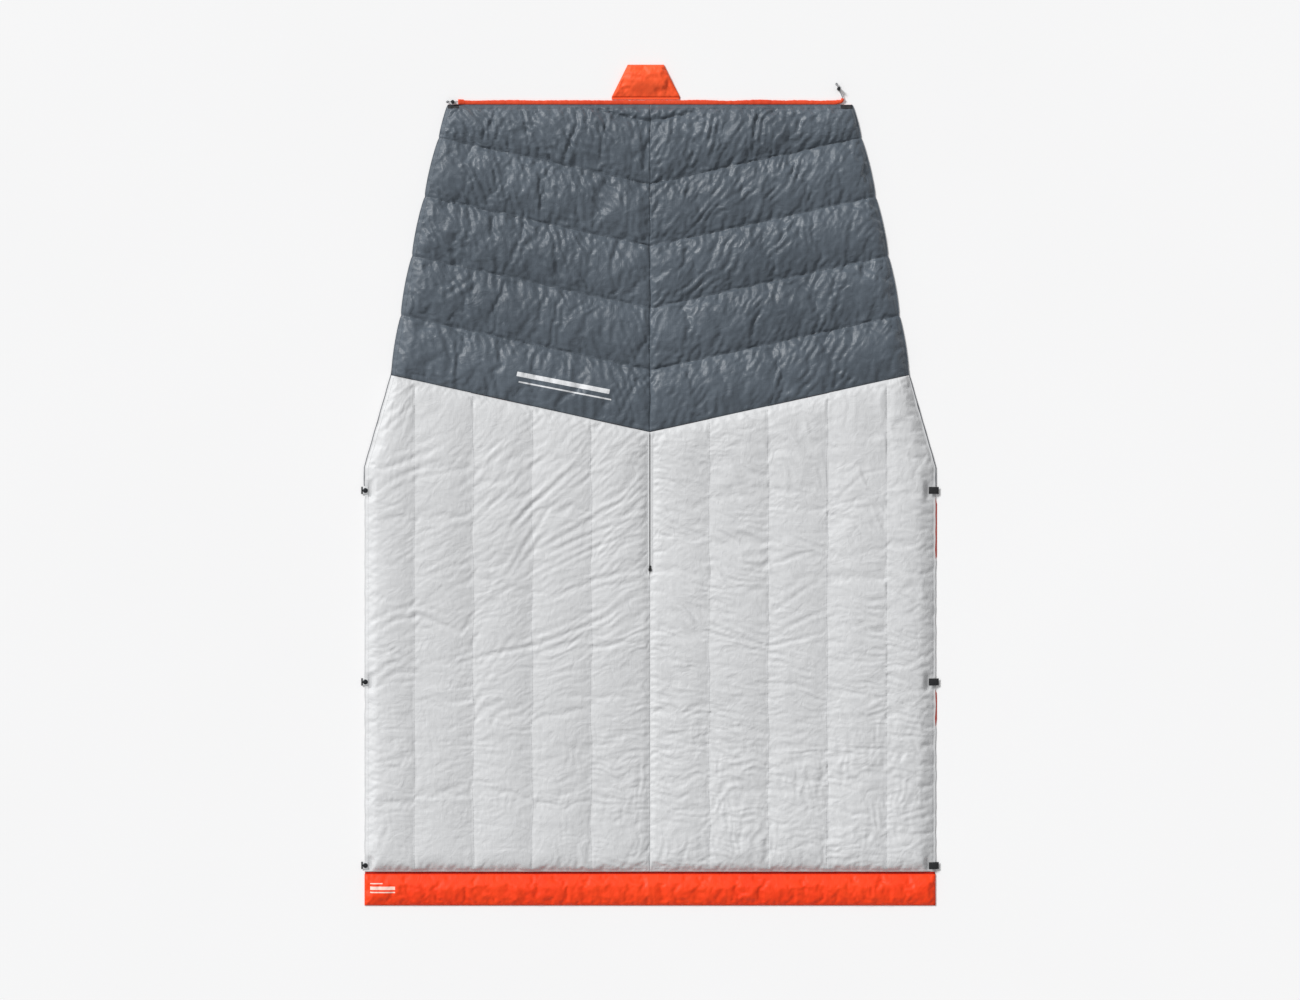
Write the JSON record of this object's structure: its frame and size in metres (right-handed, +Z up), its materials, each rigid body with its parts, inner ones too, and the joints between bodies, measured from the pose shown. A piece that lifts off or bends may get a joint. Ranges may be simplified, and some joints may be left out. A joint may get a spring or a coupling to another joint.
{
  "type": "camp quilt",
  "caption": "Insulated camp quilt laid flat: chevron-baffled foot, upright body chambers, zipped head opening, draft collar, foot flap, drawcord and side snap tabs.",
  "frame": {"origin": "on the ground under the middle of the whole quilt, draft collar and foot flap included", "axes": "+Y toward the foot end, +X to the right seen from above with the foot end away, +Z up through the loft"},
  "size_m": [1.388, 2.02, 0.027],
  "materials": {
    "shell_slate": "satin",
    "shell_grey": "matte",
    "liner_orange": "matte",
    "down_fill": "matte",
    "baffle_mesh": "matte",
    "zip_tape": "matte",
    "webbing": "matte",
    "cord": "matte",
    "black_plastic": "satin",
    "dark_metal": "satin",
    "snap_steel": "satin"
  },
  "bodies": {
    "quilt": {"baffle_centre": "baffle_mesh", "baffle_walls": "baffle_mesh", "body_down_left_1": "down_fill", "body_down_left_2": "down_fill", "body_down_left_3": "down_fill", "body_down_left_4": "down_fill", "body_down_left_5": "down_fill", "body_down_right_1": "down_fill", "body_down_right_2": "down_fill", "body_down_right_3": "down_fill", "body_down_right_4": "down_fill", "body_down_right_5": "down_fill", "foot_channel": "liner_orange", "foot_down_left_1": "down_fill", "foot_down_left_2": "down_fill", "foot_down_left_3": "down_fill", "foot_down_left_4": "down_fill", "foot_down_left_5": "down_fill", "foot_down_right_1": "down_fill", "foot_down_right_2": "down_fill", "foot_down_right_3": "down_fill", "foot_down_right_4": "down_fill", "foot_down_right_5": "down_fill", "foot_drawcord": "cord", "liner": "liner_orange", "shell_body_left": "shell_grey", "shell_body_right": "shell_grey", "shell_foot_left": "shell_slate", "shell_foot_right": "shell_slate", "zip_stop_foot": "dark_metal", "zip_stop_head": "dark_metal", "zip_tape_left": "zip_tape", "zip_tape_right": "zip_tape"},
    "collar": {"collar_shell": "liner_orange", "collar_down": "down_fill", "collar_lining": "liner_orange"},
    "foot_flap": {"flap_shell": "liner_orange", "flap_down": "down_fill", "flap_lining": "liner_orange"},
    "zip_slider": {"zip_slider": "dark_metal"},
    "zip_pull": {"zip_pull": "black_plastic"},
    "cord_lock_left": {"cord_lock_left": "black_plastic", "cord_lock_spring_left": "snap_steel"},
    "cord_lock_button_left": {"cord_lock_button_left": "black_plastic"},
    "cord_lock_right": {"cord_lock_right": "black_plastic", "cord_lock_spring_right": "snap_steel"},
    "cord_lock_button_right": {"cord_lock_button_right": "black_plastic"},
    "tab_left_1": {"side_tab_left_1": "webbing", "snap_stud_1": "snap_steel"},
    "tab_right_1": {"side_tab_right_1": "webbing", "snap_socket_1": "dark_metal"},
    "tab_left_2": {"side_tab_left_2": "webbing", "snap_stud_2": "snap_steel"},
    "tab_right_2": {"side_tab_right_2": "webbing", "snap_socket_2": "dark_metal"},
    "tab_left_3": {"side_tab_left_3": "webbing", "snap_stud_3": "snap_steel"},
    "tab_right_3": {"side_tab_right_3": "webbing", "snap_socket_3": "dark_metal"}
  },
  "joints": [
    {"name": "collar_fold", "type": "hinge", "parent": "quilt", "child": "collar", "pos_m": [0, -0.932, 0.0014], "axis": [-1, 0, 0], "range_deg": [-90, 100]},
    {"name": "foot_flap_fold", "type": "hinge", "parent": "quilt", "child": "foot_flap", "pos_m": [0, 0.9294, 0.0014], "axis": [1, 0, 0], "range_deg": [-90, 100]},
    {"name": "zip_slider_run", "type": "slide", "parent": "quilt", "child": "zip_slider", "axis": [0, 1, 0], "range_m": [0, 0.305]},
    {"name": "zip_pull_swing", "type": "hinge", "parent": "zip_slider", "child": "zip_pull", "pos_m": [0, -0.1944, 0.0143], "axis": [-1, 0, 0], "range_deg": [0, 170]},
    {"name": "cord_lock_left_slide", "type": "slide", "parent": "quilt", "child": "cord_lock_left", "axis": [-1, 0, 0], "range_m": [-0.004, 0.005]},
    {"name": "cord_lock_right_slide", "type": "slide", "parent": "quilt", "child": "cord_lock_right", "axis": [-0.4067, 0.9135, 0], "range_m": [-0.008, 0.004]},
    {"name": "cord_lock_button_left_press", "type": "slide", "parent": "cord_lock_left", "child": "cord_lock_button_left", "axis": [0, 0, -1], "range_m": [0, 0.002], "stiffness_N_per_m": 300, "springref_m": -0.002, "deforming": ["cord_lock_spring_left"]},
    {"name": "cord_lock_button_right_press", "type": "slide", "parent": "cord_lock_right", "child": "cord_lock_button_right", "axis": [0, 0, -1], "range_m": [0, 0.002], "stiffness_N_per_m": 300, "springref_m": -0.002, "deforming": ["cord_lock_spring_right"]},
    {"name": "tab_left_1_fold", "type": "hinge", "parent": "quilt", "child": "tab_left_1", "pos_m": [-0.6754, -0.013, 0.0039], "axis": [0, 1, 0], "range_deg": [0, 105]},
    {"name": "tab_right_1_fold", "type": "hinge", "parent": "quilt", "child": "tab_right_1", "pos_m": [0.69446, -0.013, 0.0034], "axis": [0, 1, 0], "range_deg": [0, 150]},
    {"name": "tab_left_2_fold", "type": "hinge", "parent": "quilt", "child": "tab_left_2", "pos_m": [-0.6754, -0.473, 0.0039], "axis": [0, 1, 0], "range_deg": [0, 105]},
    {"name": "tab_right_2_fold", "type": "hinge", "parent": "quilt", "child": "tab_right_2", "pos_m": [0.69446, -0.473, 0.0034], "axis": [0, 1, 0], "range_deg": [0, 150]},
    {"name": "tab_left_3_fold", "type": "hinge", "parent": "quilt", "child": "tab_left_3", "pos_m": [-0.6754, -0.914, 0.0039], "axis": [0, 1, 0], "range_deg": [0, 105]},
    {"name": "tab_right_3_fold", "type": "hinge", "parent": "quilt", "child": "tab_right_3", "pos_m": [0.69446, -0.914, 0.0034], "axis": [0, 1, 0], "range_deg": [0, 150]}
  ]
}
